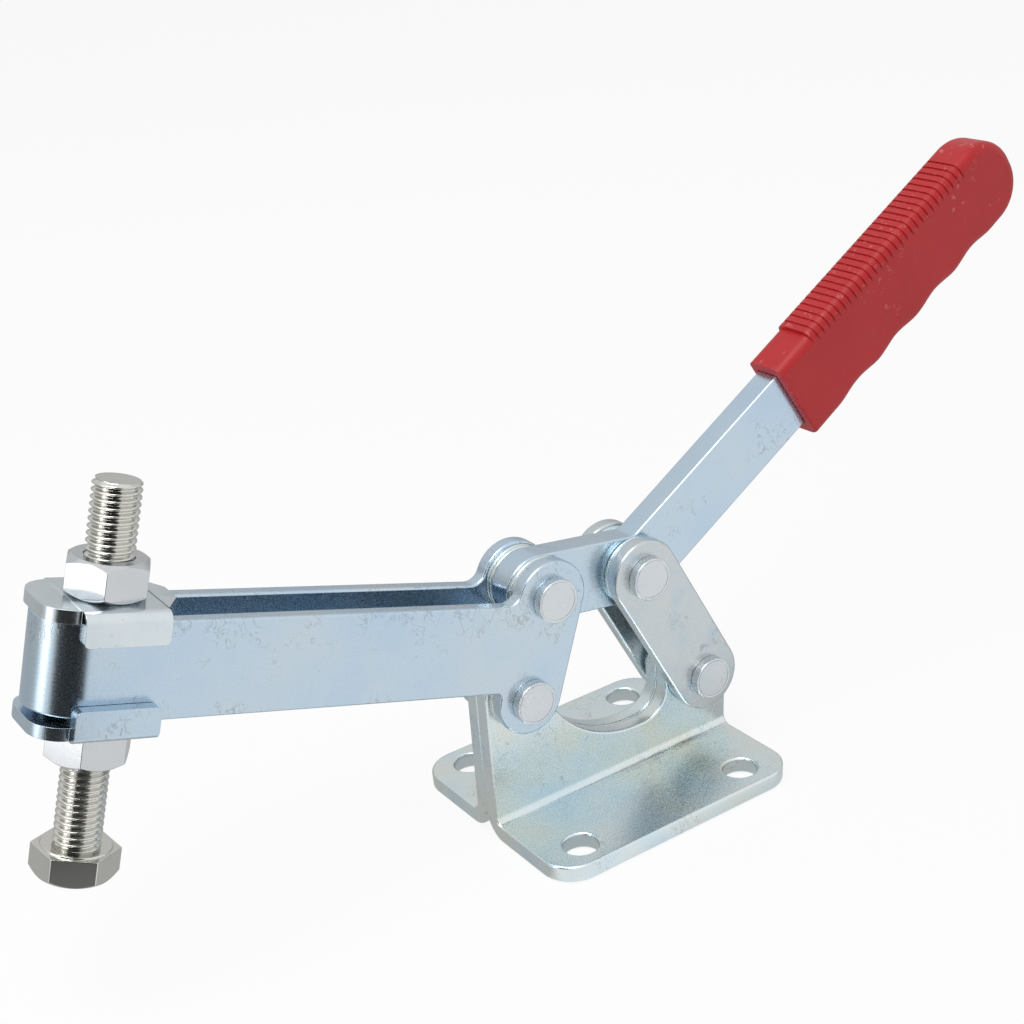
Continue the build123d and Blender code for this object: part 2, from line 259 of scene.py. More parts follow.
# an sRGB hex code as a linear colour
def colour(code):
    parts = [int(code[i:i + 2], 16) / 255 for i in (1, 3, 5)]
    return [p / 12.92 if p <= 0.04045 else ((p + 0.055) / 1.055) ** 2.4 for p in parts] + [1]


# pattern scale for a feature of this many millimetres
def perSize(size):
    return 1000 / size


# each value is a link from another node's output, a constant of an input, or a setting
def addNode(tree, kind, values=None):
    node = tree.nodes.new(kind)
    for name, value in (values or {}).items():
        if isinstance(value, bpy.types.NodeSocket):
            tree.links.new(value, node.inputs[name])
        elif isinstance(name, int) or name in node.inputs:
            node.inputs[name].default_value = value
        else:
            setattr(node, name, value)
    return node


def addNoise(tree, place, size, detail, roughness=0.5, distortion=0.0):
    return addNode(tree, "ShaderNodeTexNoise", {
        "Scale": perSize(size), "Detail": detail, "Roughness": roughness, "Distortion": distortion,
        "Vector": place}).outputs["Fac"]


def addRamp(tree, source, stops):
    node = addNode(tree, "ShaderNodeValToRGB", {"Fac": source})
    ramp = node.color_ramp
    while len(ramp.elements) < len(stops):
        ramp.elements.new(0.5)
    for element, (place, value) in zip(ramp.elements, stops):
        element.position = place
        element.color = colour(value) if isinstance(value, str) else (value, value, value, 1)
    return node.outputs[0]


def addMath(tree, operation, *values):
    return addNode(tree, "ShaderNodeMath", {"operation": operation, **dict(enumerate(values))}).outputs[0]


def addVectorMath(tree, operation, *values):
    node = addNode(tree, "ShaderNodeVectorMath", {"operation": operation, **dict(enumerate(values))})
    return node.outputs["Value" if operation == "DOT_PRODUCT" else "Vector"]


def addMapping(tree, place, turn, stretch):
    values = {"Rotation": turn, "Scale": stretch, "Vector": place}
    return addNode(tree, "ShaderNodeMapping", values).outputs[0]


def addRange(tree, source, start, end, low, high, kind="LINEAR"):
    return addNode(tree, "ShaderNodeMapRange", {
        "interpolation_type": kind, "From Min": start, "From Max": end, "To Min": low, "To Max": high,
        "Value": source}).outputs[0]


def addMix(tree, share, first, second, blend="MIX"):
    return addNode(tree, "ShaderNodeMix", {
        "data_type": "RGBA", "blend_type": blend, 0: share, 6: first, 7: second}).outputs[2]


# relief of this many millimetres, on top of the relief below it
def addBump(tree, height, rise, below=None, sunk=False):
    values = {"Strength": 1.0, "Distance": rise * mm, "invert": sunk, "Height": height}
    if below:
        values["Normal"] = below
    return addNode(tree, "ShaderNodeBump", values).outputs[0]


def clearedTree(owner):
    owner.use_nodes = True
    owner.node_tree.nodes.clear()
    return owner.node_tree


def newMaterial(name):
    material = bpy.data.materials.new(name)
    tree = clearedTree(material)
    shader = tree.nodes.new("ShaderNodeBsdfPrincipled")
    addNode(tree, "ShaderNodeOutputMaterial", {"Surface": shader.outputs[0]})
    place = tree.nodes.new("ShaderNodeTexCoord").outputs["Object"]
    return material, tree, shader, place


# blue-passivated zinc plate on cold-rolled strip: a satin metal, blue-grey, with clouds of
# faint interference colour, fine grain, and handling scratches that break its shine
def makeZinc(name, look):
    material, tree, shader, place = newMaterial(name)
    tint = addRamp(tree, addNoise(tree, place, look["cloudSize"], 3, 0.55), look["tints"])
    grainPlace = addMapping(tree, place, (0, 0, 0), look["grainStretch"])
    grain = addNoise(tree, grainPlace, look["grainSize"], 4, 0.7)
    specks = addRamp(tree, grain, look["specks"])
    # scratches: thin lines where a warped noise crosses one value, kept to a few patches
    scratchPlace = addMapping(tree, place, look["scratchTurn"], look["scratchStretch"])
    lines = addNoise(tree, scratchPlace, look["scratchSize"], 2, 0.6, 0.6)
    nearness = addMath(tree, "ABSOLUTE", addMath(tree, "SUBTRACT", lines, 0.5))
    thin = addRamp(tree, nearness, [(0.0, 1.0), (look["scratchWidth"], 0.0)])
    amount = addNoise(tree, place, look["patchSize"], 2)
    if "band" in look:
        # more marks in a band along one edge, measured across the piece in mm
        across, start, end, gain = look["band"]
        height = addVectorMath(tree, "DOT_PRODUCT", place, across)
        amount = addMath(tree, "ADD", amount, addRange(tree, height, start * mm, end * mm, 0.0, gain))
    patchEnd = look["patchStart"] + look["patchFade"]
    where = addRamp(tree, amount, [(look["patchStart"], 0.0), (patchEnd, 1.0)])
    scratch = addMath(tree, "MULTIPLY", thin, where)
    speckled = addMix(tree, look["speckDepth"], tint, specks, "MULTIPLY")
    mark = addMath(tree, "MULTIPLY", scratch, look["scratchDepth"])
    marked = addMix(tree, mark, speckled, colour(look["scratchTone"]))
    tree.links.new(marked, shader.inputs["Base Color"])
    shader.inputs["Metallic"].default_value = 1
    sheen = addRange(tree, grain, 0.3, 0.7, *look["roughness"])
    tree.links.new(sheen, shader.inputs["Roughness"])
    swell = addBump(tree, addNoise(tree, place, look["waveSize"], 2), look["waveHeight"])
    grit = addBump(tree, grain, look["grainHeight"], swell)
    groove = addBump(tree, scratch, look["scratchDepth"] * look["grooveShare"], grit, True)
    tree.links.new(groove, shader.inputs["Normal"])
    return material


# the real grain and scratches are finer, and are drawn as coarse as they need to be to show
plateLook = {
    "cloudSize": 22, "tints": [(0.3, "#B9CDE0"), (0.5, "#BFD1DF"), (0.7, "#C4D2DB")],
    "grainSize": 0.55, "grainStretch": (1, 1, 1), "grainHeight": 0.004, "roughness": (0.2, 0.3),
    "specks": [(0.27, "#8E979D"), (0.34, "#FFFFFF")], "speckDepth": 0.6,
    "scratchTurn": (0.3, 0.9, 0.5), "scratchStretch": (0.75, 1.0, 0.55), "scratchSize": 2.6,
    "scratchWidth": 0.024, "scratchDepth": 0.42, "scratchTone": "#7C8388", "grooveShare": 0.03,
    "patchSize": 11, "patchStart": 0.56, "patchFade": 0.08, "waveSize": 9, "waveHeight": 0.04,
}
zincBlue = makeZinc("zinc_plate_blue", plateLook)
# the arm is marked most in a band just under its top edge
armAcross = (sin(armAngle), 0, cos(armAngle))
armShift = sum(a * b for a, b in zip(armAcross, (linkage["armPivot"][0], 0, linkage["armPivot"][1])))
armBand = (armAcross, armShift + 19, armShift + 26.5, 0.16)
zincArm = makeZinc("zinc_plate_arm", dict(plateLook, band=armBand))
# inside the slot the film is unworn, and its blue is deepened further as painted reflection of the slot's
# walls in each other
zincDeepAndPaintedReflection = makeZinc("zinc_plate_unworn_painted_reflection", dict(
    plateLook, tints=[(0.3, "#A3C6EC"), (0.6, "#ADCEF0")], speckDepth=0.4, scratchDepth=0.2))
# the base's film is paler, with clouds from blue to straw
zincPale = makeZinc("zinc_plate_pale", dict(
    plateLook, cloudSize=17, tints=[(0.32, "#CEDFE8"), (0.5, "#D8E3E5"), (0.68, "#DDE1DA")],
    patchStart=0.55, grainSize=0.6, roughness=(0.22, 0.33)))
# the links are a duller, greyer satin
zincLink = makeZinc("zinc_plate_link", dict(
    plateLook, cloudSize=9, tints=[(0.32, "#BDCAD2"), (0.5, "#C6CED2"), (0.68, "#CCCFCF")],
    roughness=(0.24, 0.36)))
# the saddles are barely handled: the film is thin and almost colourless; the upper saddle's brighter tint is
# partly a painted highlight
zincBrightPaintedHighlight = makeZinc("zinc_plate_bright_painted_highlight", dict(
    plateLook, cloudSize=12, tints=[(0.3, "#CFD9DF"), (0.6, "#D8E0E4")],
    specks=[(0.3, "#9BA2A6"), (0.36, "#FFFFFF")], roughness=(0.18, 0.28), scratchDepth=0.25))
# sheared and tumbled edges: the plate is thin there, so they are greyer and speckled
zincEdge = makeZinc("zinc_worn_edge", dict(
    plateLook, tints=[(0.3, "#C3CCD3"), (0.6, "#CDD4D9")], specks=[(0.37, "#666D72"), (0.45, "#FFFFFF")],
    grainSize=0.8, speckDepth=0.75, scratchDepth=0.2, roughness=(0.2, 0.32), grainHeight=0.01))
# painted shade in the seam between the brackets: dark and dull
zincSeamShade = makeZinc("zinc_seam_painted_shade", dict(
    plateLook, tints=[(0.3, "#3E474E"), (0.6, "#566068")], scratchDepth=0.1, roughness=(0.4, 0.55)))

# machined steel with bright zinc: smoother and warmer than the plates
boltLook = dict(
    plateLook, tints=[(0.3, "#CFCFCB"), (0.6, "#D8D7D1")], specks=[(0.25, "#A5A6A2"), (0.4, "#FFFFFF")],
    grainSize=0.35, speckDepth=0.2, roughness=(0.1, 0.17), scratchDepth=0.1, waveHeight=0.012,
    grainHeight=0.001)
brightBolt = makeZinc("bright_zinc_bolt", boltLook)
# the head's flats keep the streaks of their forging die, and their darker tint is painted reflection of the
# shaded floor
headSteelStreakedAndShaded = makeZinc("bright_zinc_forged_painted_reflection", dict(
    boltLook, tints=[(0.3, "#B6B8BA"), (0.6, "#C2C4C6")], specks=[(0.42, "#8E9498"), (0.55, "#FFFFFF")],
    speckDepth=0.5, grainSize=0.9, grainStretch=(0.2, 0.2, 1.0), roughness=(0.16, 0.3), grainHeight=0.03))
# the nuts are a little cooler and softer than the bolt
brightNut = makeZinc("bright_zinc_nut", dict(
    boltLook, tints=[(0.3, "#C2C6CA"), (0.6, "#CACDD0")], roughness=(0.13, 0.19)))
# struck rivet heads: satin, with short fine marks
pinSteel = makeZinc("zinc_rivet_head", dict(
    boltLook, tints=[(0.3, "#C8D0D6"), (0.6, "#D3D8DB")], roughness=(0.22, 0.34), speckDepth=0.3,
    scratchDepth=0.4, scratchSize=1.6))


# dipped and moulded soft PVC: opaque red, semi-gloss, with a moulded skin and a few shiny rub marks whose
# lighter pink is a painted glint;
# the real skin is finer, and is drawn as coarse as it needs to be to show
vinylLook = {
    "cloudSize": 18, "tints": [(0.3, "#AE171D"), (0.7, "#B41B21")], "skinSize": 0.5, "skinHeight": 0.006,
    "rubSize": 2.2, "rubStops": [(0.62, 0.0), (0.66, 1.0)], "rubGlintTone": "#E07A7C", "rubDepth": 0.5,
    "rubHeight": 0.04,
    "zoneSize": 16, "zoneStops": [(0.62, 0.0), (0.74, 1.0)], "band": (5, 13, 0.25),
    "roughness": (0.42, 0.2), "IOR": 1.53, "Specular IOR Level": 0.4,
}


def makeVinyl(look):
    material, tree, shader, place = newMaterial("moulded_pvc_red")
    tint = addRamp(tree, addNoise(tree, place, look["cloudSize"], 2), look["tints"])
    skin = addNoise(tree, place, look["skinSize"], 3, 0.6)
    rubSpots = addRamp(tree, addNoise(tree, place, look["rubSize"], 4, 0.65), look["rubStops"])
    # hands and boxes rub the upper corners most; the rub marks' lighter pink there is a painted glint
    start, end, gain = look["band"]
    across = (-sin(gripAngle), 0, cos(gripAngle))
    middle = sum(a * b for a, b in zip(across, (barCorner[0], 0, barCorner[1])))
    height = addVectorMath(tree, "DOT_PRODUCT", place, across)
    near = addRange(tree, height, (middle + start) * mm, (middle + end) * mm, 0.0, gain)
    zoned = addMath(tree, "ADD", addNoise(tree, place, look["zoneSize"], 1), near)
    rub = addMath(tree, "MULTIPLY", rubSpots, addRamp(tree, zoned, look["zoneStops"]))
    # how much of the rub marks' painted glint pink goes into the base colour
    shade = addMath(tree, "MULTIPLY", rub, look["rubDepth"])
    tree.links.new(addMix(tree, shade, tint, colour(look["rubGlintTone"])), shader.inputs["Base Color"])
    tree.links.new(addRange(tree, rub, 0.0, 1.0, *look["roughness"]), shader.inputs["Roughness"])
    raised = addBump(tree, rub, look["rubHeight"], addBump(tree, skin, look["skinHeight"]))
    tree.links.new(raised, shader.inputs["Normal"])
    for name in ("IOR", "Specular IOR Level"):
        shader.inputs[name].default_value = look[name]
    return material


vinyl = makeVinyl(vinylLook)
print("materials made")


def dress(piece, body, slot, materials, *nodes):
    smooth(piece)
    piece.data.materials.clear()
    for material in materials:
        piece.data.materials.append(material)
    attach(piece, body)
    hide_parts(*nodes)
    print("made", piece.name, len(piece.data.polygons), "faces")
    return piece


# base: two bent brackets, back to back

bracket = {
    "gauge": 5.0, "ahead": 41.0, "behind": 41.5, "width": 75.2, "cornerRadius": 10.0, "bendRadius": 2.5,
    "holeRadius": 5.0, "holeX": 28.5, "holeY": 28.2, "frontEar": 11.0, "rearEar": 11.4,
    "basinFloor": 16.7, "basinFlank": 32.4, "basinLeft": -21.7, "basinRight": 21.2, "basinCorner": 8.8,
    "pinHole": 4.55, "openHole": 8.3, "edge": 0.8, "closer": 0.28,
}


def makeBracket(b):
    half, gauge = b["width"] / 2, b["gauge"]
    bendTop = gauge + b["bendRadius"]
    body = addBlock("bracket_near", (-50, -half, 0), (50, -bendTop, gauge))
    # spin the inner end up into the bend, then pull the wall up
    pick(body, "FACE", lambda at, n: n.y > 0.9)
    bpy.ops.mesh.spin(steps=10, angle=radians(-90), center=(0, -bendTop * mm, bendTop * mm), axis=(1, 0, 0))
    leave()
    pick(body, "FACE", lambda at, n: at.z > bendTop - 0.2 and abs(at.y + gauge / 2) < 0.3 and abs(n.z) > 0.9)
    bpy.ops.mesh.extrude_region_move(TRANSFORM_OT_translate={"value": (0, 0, 60 * mm)})
    bpy.ops.mesh.select_all(action="SELECT")
    bpy.ops.mesh.remove_doubles(threshold=0.002 * mm)
    bpy.ops.mesh.normals_make_consistent(inside=False)
    leave()
    # side outline: two ears, tied to the foot, with the basin cut out between them
    ears = [(linkage["armPivot"], b["frontEar"]), (linkage["basePivot"], b["rearEar"])]
    outline = addBlock("outline", (-b["ahead"], -60, -5), (b["behind"], 20, bendTop + 0.5))
    wrap(outline, *[addRound("ear", "Y", r, -60, 20, spot) for spot, r in ears])
    basin = addBlock("basin", (b["basinLeft"], -80, b["basinFloor"]), (b["basinRight"], 40, 120))
    bevelPicked(basin, lambda at, d: abs(d.y) > 0.9 and at.z < 20 and at.x < 0, b["basinFlank"], 40)
    bevelPicked(basin, lambda at, d: abs(d.y) > 0.9 and at.z < 17 and at.x > 20, b["basinCorner"], 20)
    combine(outline, basin)
    combine(outline, addBlock("open", (0, -80, linkage["basePivot"][1]), (70, 40, 120)))
    for spot, r in ears:
        combine(outline, addRound("ear", "Y", r, -61, 21, spot), "UNION")
    combine(body, outline, "INTERSECT", True)
    bevelPicked(body, lambda at, d: abs(d.z) > 0.9 and at.y < -half + 0.1, b["cornerRadius"], 18)
    combine(body, addRound("hole", "Y", b["pinHole"], -20, 20, linkage["armPivot"], 48))
    combine(body, addRound("hole", "Y", b["openHole"], -20, 20, linkage["basePivot"], 48))
    for x in (-b["holeX"], b["holeX"]):
        combine(body, addRound("hole", "Z", b["holeRadius"], -20, 20, (x, -b["holeY"]), 64))
    cleanFlats(body, b["closer"])
    roundEdges(body, b["edge"])
    # the faces in the seam between the brackets take the painted shade
    return paintPicked(body, lambda at, n: at.y > -b["edge"] * 0.75 and abs(n.y) < 0.98, 2)


bracketNear = makeBracket(bracket)
bracketFar = mirrored(bracketNear, "bracket_far")
dress(bracketNear, "base", "zinc_plate", [zincPale, zincEdge, zincSeamShade], "base_bracket_near")
dress(bracketFar, "base", "zinc_plate", [zincPale, zincEdge, zincSeamShade], "base_bracket_far")


# arm: one strip bent into a long U, with two lobes at its rear end

armStrip = {
    "gauge": 4.5, "slot": 13.7, "reach": 139.0, "edgeHeight": 2.3, "depth": 25.0,
    "lowerLobe": 10.1, "upperLobe": 10.7, "neck": 4.0, "chin": 1.5, "edge": 0.8, "closer": 0.12,
    "bendLift": 1.6, "bendRun": 10.0,
}


def makeArm(a):
    half = a["slot"] / 2 + a["gauge"]
    low, top = a["edgeHeight"], a["edgeHeight"] + a["depth"]
    upper = linkage["handleOnArm"]
    body = addBlock("arm_strip", (0, -30, low), (a["reach"] + 10, 30, top))
    lowerLobe = addRound("lobe", "Y", a["lowerLobe"], -31, 31)
    upperLobe = addRound("lobe", "Y", a["upperLobe"], -31, 31, upper, 128)
    combine(body, wrap(lowerLobe, upperLobe), "UNION")
    # hollow curves where the lobes leave the strip
    neckZ = top + a["neck"]
    neckX = upper[0] + sqrt((a["upperLobe"] + a["neck"]) ** 2 - (neckZ - upper[1]) ** 2)
    share = a["upperLobe"] / (a["upperLobe"] + a["neck"])
    web = addBlock("web", (0, -32, low + 10), (neckX, 32, upper[1] + share * (neckZ - upper[1])))
    combine(web, addRound("neck", "Y", a["neck"], -40, 40, (neckX, neckZ), 64))
    combine(body, web, "UNION")
    chinZ = low - a["chin"]
    chinX = sqrt((a["lowerLobe"] + a["chin"]) ** 2 - chinZ**2)
    share = a["lowerLobe"] / (a["lowerLobe"] + a["chin"])
    web = addBlock("web", (0, -32, share * chinZ), (chinX, 32, low + 5))
    combine(web, addRound("chin", "Y", a["chin"], -40, 40, (chinX, chinZ), 40))
    combine(body, web, "UNION")
    # plan outline: the round front, then the slot
    plan = addBlock("plan", (-30, -half, -30), (a["reach"], half, 60))
    bevelPicked(plan, lambda at, d: abs(d.z) > 0.9 and at.x > 100, half, 48)
    combine(body, plan, "INTERSECT")
    slot = addBlock("slot", (-40, -a["slot"] / 2, -40), (a["reach"] - a["gauge"], a["slot"] / 2, 70))
    bevelPicked(slot, lambda at, d: abs(d.z) > 0.9 and at.x > 100, a["slot"] / 2, 40)
    combine(body, slot)
    # bending draws the lower edge of the front up a little
    lift = a["bendLift"]
    under = addBlock("under", (a["reach"] - a["bendRun"], -40, low - 5), (a["reach"] + 5, 40, low + lift))
    bevelPicked(under, lambda at, d: abs(d.y) > 0.9 and at.x < a["reach"] and at.z > low, lift * 0.95, 4)
    combine(body, under)
    cleanFlats(body, a["closer"])
    roundEdges(body, a["edge"])
    # the slot's walls are the third material, whose deep blue is partly painted reflection
    wall, end = a["slot"] / 2 + 0.05, a["reach"] - a["gauge"] + 0.1
    paintPicked(body, lambda at, n: abs(at.y) < wall and at.x < end and abs(n.z) < 0.2, 2)
    return placeOnArm(body)


dress(makeArm(armStrip), "arm", "zinc_plate", [zincArm, zincEdge, zincDeepAndPaintedReflection], "arm")


# links

links = {"gauge": 4.5, "radius": 10.7, "innerFace": 6.15, "edge": 0.9}


def makeLink(v):
    outer = v["innerFace"] + v["gauge"]
    ends = []
    for spot in (linkTop, linkage["basePivot"]):
        end = addRound("link_near", "Y", v["radius"], -outer, -v["innerFace"], spot)
        ends.append(roundEdges(end, v["edge"], 4))
    return wrap(*ends)


linkNear = makeLink(links)
linkFar = mirrored(linkNear, "link_far_plate")
linkNear.name = "link_near_plate"
dress(linkNear, "link", "zinc_plate", [zincLink, zincEdge], "link_near")
dress(linkFar, "link", "zinc_plate", [zincLink, zincEdge], "link_far")


# handle bar

handleBar = {
    "gauge": 8.0, "depth": 20.0, "bendRadius": 4.0, "run": 154.9, "edge": 0.65, "pinHole": 4.55,
    "closer": 0.12,
}


def makeBar(v):
    half, middle = v["depth"] / 2, v["bendRadius"] + v["depth"] / 2
    bend = radians(linkage["bendAngle"])
    tangent = middle * tan(bend / 2)
    bendAt, wide = cornerRun - tangent, v["gauge"] / 2
    body = addBlock("handle_flat", (-half, -wide, -half), (bendAt, wide, half))
    pick(body, "FACE", lambda at, n: n.x > 0.9)
    bpy.ops.mesh.spin(steps=14, angle=bend, center=(bendAt * mm, 0, middle * mm), axis=(0, 1, 0))
    leave()
    ahead = Vector((cos(bend), 0, sin(bend)))
    pick(body, "FACE", lambda at, n: at.x > cornerRun and abs(n.dot(ahead)) > 0.99)
    bpy.ops.mesh.extrude_region_move(TRANSFORM_OT_translate={"value": ahead * (v["run"] - tangent) * mm})
    bpy.ops.mesh.select_all(action="SELECT")
    bpy.ops.mesh.remove_doubles(threshold=0.002 * mm)
    bpy.ops.mesh.normals_make_consistent(inside=False)
    leave()
    bevelPicked(body, lambda at, d: abs(d.y) > 0.9 and at.x < -half + 0.1, half, 40)
    for x in (0, crank):
        combine(body, addRound("hole", "Y", v["pinHole"], -20, 20, (x, 0), 48))
    cleanFlats(body, v["closer"])
    return placeAlong(roundEdges(body, v["edge"], 4), handlePivot, crankAngle)


dress(makeBar(handleBar), "handle", "zinc_plate", [zincBlue, zincEdge], "handle_bar")


# grip: moulded over the bar, with finger hollows below and ribs over the top

gripShape = {
    "start": 66.9, "length": 103.5, "width": 14.4, "top": 14.4, "collarTop": 13.2, "underMouth": 15.0,
    "underNose": 13.4, "edge": 3.4, "noseTop": 13.5, "noseUnder": 12.0,
    "hollows": 4, "firstCrest": 12.1, "lastCrest": 16.7, "hollowDepth": 1.25, "hollowCuts": 95,
    "ribs": 29, "ribStart": 14.2, "ribPitch": 2.44, "grooveWidth": 0.75, "grooveDepth": 0.42,
    "grooveRun": 7.4, "grooveEdge": 0.28, "fade": 0.6, "pocketWidth": 8.0, "pocketDepth": 20.0,
    "pocketRun": 88, "relief": 0.25, "reliefDepth": 2.5, "lip": 1.0,
}


def makeGrip(g):
    start, end, half = g["start"], g["start"] + g["length"], g["width"] / 2
    body = addBlock("grip_sleeve", (start, -half, -g["underMouth"]), (end, half, g["top"]))
    # the underside rises a little towards the nose
    pick(body, "VERT", lambda at, n: at.x > end - 0.1 and at.z < 0)
    bpy.ops.transform.translate(value=(0, 0, (g["underMouth"] - g["underNose"]) * mm))
    leave()
    bevelPicked(body, lambda at, d: abs(d.y) > 0.9 and at.x > end - 0.1 and at.z > 0, g["noseTop"], 20)
    bevelPicked(body, lambda at, d: abs(d.y) > 0.9 and at.x > end - 0.1 and at.z < -5, g["noseUnder"], 18)
    # finger hollows: cut the underside into short lengths, then pull the middles up softly
    pick(body, "EDGE", lambda at, d: abs(d.x) > 0.9 and at.z < -10 and at.x < end - 30)
    bpy.ops.mesh.subdivide(number_cuts=g["hollowCuts"])
    leave()
    pitch = (g["length"] - g["firstCrest"] - g["lastCrest"]) / g["hollows"]
    for i in range(g["hollows"]):
        middle = start + g["firstCrest"] + pitch * (i + 0.5)
        pick(body, "VERT", lambda at, n: abs(at.x - middle) < 0.6 and at.z < -10)
        bpy.ops.transform.translate(
            value=(0, 0, g["hollowDepth"] * mm), use_proportional_edit=True,
            proportional_edit_falloff="SMOOTH", proportional_size=pitch / 2 * mm)
        leave()
    # round both side outlines, but not the mouth
    side = half - 0.1
    bevelPicked(body, lambda at, d: abs(d.y) < 0.1 and abs(at.y) > side and at.x > start + 0.1, g["edge"], 7)
    bevelPicked(body, lambda at, d: at.x < start + 0.05, g["lip"], 4)
    # lower collar in front of the ribs
    collar = addBlock("collar", (start - 5, -20, g["top"] - g["edge"] - 1), (start + g["ribStart"], 20, 30))
    core = addBlock("core", (start - 9, -half - 0.05, -30), (end, half + 0.05, g["collarTop"]))
    bevelPicked(core, lambda at, d: abs(d.x) > 0.9 and at.z > 0, g["edge"], 8)
    combine(body, combine(collar, core))
    # ribs: one thin cutter that fades out down the sides, repeated
    first = start + g["ribStart"] + g["ribPitch"] - g["grooveWidth"]
    ribFoot = g["top"] - g["grooveRun"]
    cutter = addBlock("cutter", (first, -20, ribFoot), (first + g["grooveWidth"], 20, 30))
    inner = half - g["grooveDepth"]
    core = addBlock("core", (first - 5, -inner, ribFoot - 3), (first + 5, inner, g["top"] - g["grooveDepth"]))
    bevelPicked(core, lambda at, d: abs(d.x) > 0.9 and at.z > 0, g["edge"] - g["grooveDepth"], 6)
    pick(core, "VERT", lambda at, n: at.z < ribFoot)
    bpy.ops.transform.resize(value=(1, (half + g["fade"]) / inner, 1), center_override=(first * mm, 0, 0))
    leave()
    combine(cutter, core)
    bpy.ops.object.modifier_add(type="ARRAY")
    array = cutter.modifiers[-1]
    array.count = g["ribs"]
    array.use_relative_offset = False
    array.use_constant_offset = True
    array.constant_offset_displace = (g["ribPitch"] * mm, 0, 0)
    bpy.ops.object.modifier_apply(modifier=array.name)
    combine(body, cutter)
    # pocket for the bar, relieved at its mouth
    wide, deep = g["pocketWidth"] / 2, g["pocketDepth"] / 2
    combine(body, addBlock("pocket", (start - 5, -wide, -deep), (start + g["pocketRun"], wide, deep)))
    wide, deep = wide + g["relief"], deep + g["relief"]
    combine(body, addBlock("relief", (start - 5, -wide, -deep), (start + g["reliefDepth"], wide, deep)))
    cleanFlats(body)
    roundEdges(body, g["grooveEdge"], steps=2, sharper=35, material=0, held=True)
    return placeAlong(body, barCorner, gripAngle)


dress(makeGrip(gripShape), "handle", "red_grip", [vinyl], "grip")


# pins with two heads, and the rings stacked between the plates

pins = {
    "shank": 4.5, "head": 6.25, "height": 2.8, "round": 0.35, "ring": 10.0, "ringEdge": 0.45, "gap": 0.1,
    "rim": 0.6, "lineWidth": 0.18, "lineSunk": 0.2, "lineRaised": 0.16,
}
halfArm = armStrip["slot"] / 2 + armStrip["gauge"]
outerLink = links["innerFace"] + links["gauge"]
# pivot, body, face under the heads, faces the rings lie between, number of rings
pinRows = {
    "arm": (linkage["armPivot"], "arm", halfArm, bracket["gauge"], armStrip["slot"] / 2, 1),
    "handle": (handlePivot, "arm", halfArm, handleBar["gauge"] / 2, armStrip["slot"] / 2, 2),
    "link_top": (linkTop, "link", outerLink, handleBar["gauge"] / 2, links["innerFace"], 2),
    "link_base": (linkage["basePivot"], "link", outerLink, bracket["gauge"], links["innerFace"], 1),
}


def makePin(name, v, spot, seat):
    tip = seat + v["height"]
    body = addRound(name, "Y", v["head"], -tip, -seat, spot)
    # the shank is drawn from the head's inner face, then spread into the other head
    pick(body, "FACE", lambda at, n: n.y > 0.9)
    bpy.ops.mesh.inset(thickness=(v["head"] - v["shank"]) * mm)
    bpy.ops.mesh.extrude_region_move(TRANSFORM_OT_translate={"value": (0, 2 * seat * mm, 0)})
    bpy.ops.mesh.extrude_region_move()
    wider = v["head"] / v["shank"]
    middle = (spot[0] * mm, seat * mm, spot[1] * mm)
    bpy.ops.transform.resize(value=(wider, 1, wider), center_override=middle)
    bpy.ops.mesh.extrude_region_move(TRANSFORM_OT_translate={"value": (0, v["height"] * mm, 0)})
    leave()
    # the rim line on each face
    pick(body, "FACE", lambda at, n: abs(at.y) > tip - 0.01)
    bpy.ops.mesh.inset(thickness=v["rim"] * mm, use_individual=True)
    for depth in (-v["lineSunk"], v["lineRaised"]):
        bpy.ops.mesh.inset(thickness=v["lineWidth"] * mm, depth=depth * mm, use_individual=True)
    leave()
    return roundEdges(body, v["round"], steps=4, sharper=60, material=0)


def makeRings(name, v, spot, inner, outer, count):
    share = (outer - inner - v["gap"]) / count
    rings = []
    for i in range(count):
        low = inner + v["gap"] + share * i
        ring = addRound(name, "Y", v["ring"], -low - share, -low, spot)
        rings.append(roundEdges(ring, v["ringEdge"], material=0))
    return joinInto(*rings)


for pinName, (spot, body, seat, inner, outer, count) in pinRows.items():
    pin = makePin("rivet_" + pinName, pins, spot, seat)
    dress(pin, body, "zinc_plate", [pinSteel], "pin_" + pinName)
    near = makeRings("washer_" + pinName + "_near", pins, spot, inner, outer, count)
    far = mirrored(near, "washer_" + pinName + "_far")
    dress(near, body, "zinc_plate", [zincPale], "ring_" + pinName + "_near")
    dress(far, body, "zinc_plate", [zincPale], "ring_" + pinName + "_far")


# spindle: a hexagon bolt in two nuts and two saddle washers

spindle = {
    "at": 121.6, "radius": 5.95, "pitch": 1.75, "threadDepth": 0.95, "threadSteps": 36, "up": 58.6,
    "down": 33.5, "tip": 0.6, "flats": 19.0, "faceRadius": 8.8, "chamfer": 36.0, "hexEdge": 0.3,
    "headHeight": 7.5, "collarRadius": 8.7, "collarHeight": 0.5, "nutHeight": 9.6,
    "boreGap": 0.05, "sinkWider": 1.3, "sinkDepth": 0.9, "sinkTaper": 0.7,
    "headTurn": 37.0, "upperNutTurn": 7.0, "lowerNutTurn": 1.0,
    "profile": [0, 0.03, 0.15, 0.35, 0.54, 0.73, 0.9, 0.98, 1],
}
saddle = {
    "gauge": 3.3, "clearance": 0.2, "gap": 0.1, "hole": 6.3, "front": 17.5, "frontCorner": 7.6,
    "tongueHalf": 11.55, "rear": 16.5, "rearHalf": 3.7, "ahead": 9.8, "behind": 11.2, "edge": 0.6,
    "upperDepth": 4.7, "upperBend": 2.8, "upperCorner": 1.2,
    "lowerDepth": 5.1, "lowerBend": 2.3, "lowerCorner": 1.6,
}


